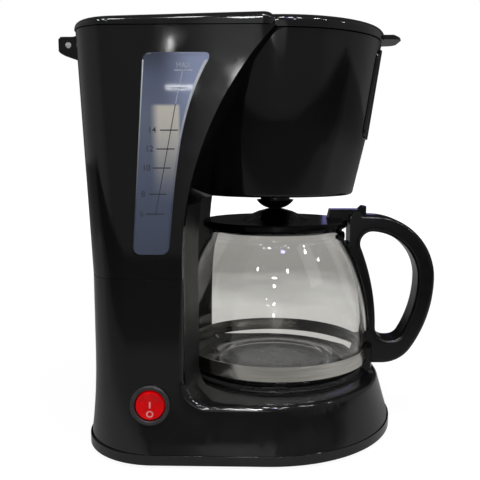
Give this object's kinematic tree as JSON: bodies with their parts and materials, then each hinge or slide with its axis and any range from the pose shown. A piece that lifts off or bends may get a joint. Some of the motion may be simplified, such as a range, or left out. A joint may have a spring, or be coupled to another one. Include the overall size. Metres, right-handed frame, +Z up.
{
  "type": "drip coffee maker",
  "caption": "Upright drip coffee maker: flared base with hotplate, tower with water tank and gauge, round brew head under a hinged lid, and a lift-out glass carafe with loop handle.",
  "frame": {"origin": "on the table, under the middle of the machine with its carafe in place", "axes": "+Z up, +X to the front where the carafe's handle points, +Y to the machine's left"},
  "size_m": [0.2382, 0.166, 0.2555],
  "materials": {
    "black_gloss": "high gloss moulded polypropylene",
    "black_matte": "satin moulded plastic",
    "gauge_tint": "blue-grey tinted clear plastic",
    "tank_natural": "natural milky plastic",
    "filter_mesh": "fine nylon mesh in a frame",
    "silicone": "soft milky silicone",
    "rubber_black": "matt soft rubber",
    "zinc_steel": "zinc plated",
    "aluminium_raw": "extruded, bare",
    "brass_tin": "tinned blades",
    "plate_enamel": "non-stick black coat on steel",
    "rocker_red": "translucent red lamp rocker",
    "jug_glass": "clear blown borosilicate",
    "band_steel": "rolled strip, satin"
  },
  "bodies": {
    "machine": {"base_plate": "black_gloss", "lower_housing": "black_gloss", "upper_housing": "black_gloss", "water_gauge": "gauge_tint", "water_tank": "tank_natural", "lid_hinge_pin": "zinc_steel", "filter_basket": "black_matte", "mesh_filter": "filter_mesh", "shower_spout": "black_matte", "riser_tube": "tank_natural", "riser_grommet": "silicone", "check_valve": "tank_natural", "riser_hose": "silicone", "inlet_hose": "silicone", "hose_clamps": "zinc_steel", "boiler_tube": "aluminium_raw", "heating_element": "aluminium_raw", "heater_clamp": "zinc_steel", "heater_screw": "zinc_steel", "thermostat": "black_matte", "thermal_fuse": "aluminium_raw", "hotplate": "plate_enamel", "hotplate_gasket": "silicone", "switch_body": "black_matte", "switch_terminals": "brass_tin", "cord_gland": "rubber_black", "terminal_block": "black_matte", "base_screws": "zinc_steel", "housing_screws": "zinc_steel", "rubber_feet": "rubber_black"},
    "main_lid": {"main_lid": "black_gloss"},
    "rocker": {"switch_rocker": "rocker_red"},
    "carafe": {"carafe_glass": "jug_glass", "carafe_band": "band_steel", "carafe_neck_clip": "black_matte", "carafe_handle": "black_matte", "handle_screw": "zinc_steel", "carafe_lid_pin": "zinc_steel"},
    "carafe_lid": {"carafe_lid": "black_gloss"},
    "drip_valve": {"drip_valve": "black_matte", "drip_seal": "silicone", "drip_spring": "zinc_steel"},
    "check_ball": {"check_ball": "silicone"}
  },
  "joints": [
    {"name": "main_lid_hinge", "type": "hinge", "parent": "machine", "child": "main_lid", "pos_m": [-0.1131, 0, 0.245], "axis": [0, -1, 0], "range_deg": [0, 95]},
    {"name": "switch_rock", "type": "hinge", "parent": "machine", "child": "rocker", "pos_m": [-0.0589, -0.07644, 0.03589], "axis": [-1, 0, 0], "range_deg": [0, 16]},
    {"name": "carafe_pull", "type": "slide", "parent": "machine", "child": "carafe", "axis": [1, 0, 0], "range_m": [0, 0.16]},
    {"name": "carafe_lid_hinge", "type": "hinge", "parent": "carafe", "child": "carafe_lid", "pos_m": [0.0671, 0, 0.1392], "axis": [0, 1, 0], "range_deg": [0, 3.5]},
    {"name": "drip_valve_lift", "type": "slide", "parent": "machine", "child": "drip_valve", "axis": [0, 0, 1], "range_m": [0, 0.0036], "stiffness_N_per_m": 80, "springref_m": -0.003, "deforming": ["drip_spring"]},
    {"name": "check_ball_float", "type": "slide", "parent": "machine", "child": "check_ball", "axis": [0, 0, 1], "range_m": [0, 0.003]}
  ],
  "couplings": [
    {"joint": "drip_valve_lift", "follows": "carafe_lid_hinge", "m_per_rad": 0.0585}
  ]
}
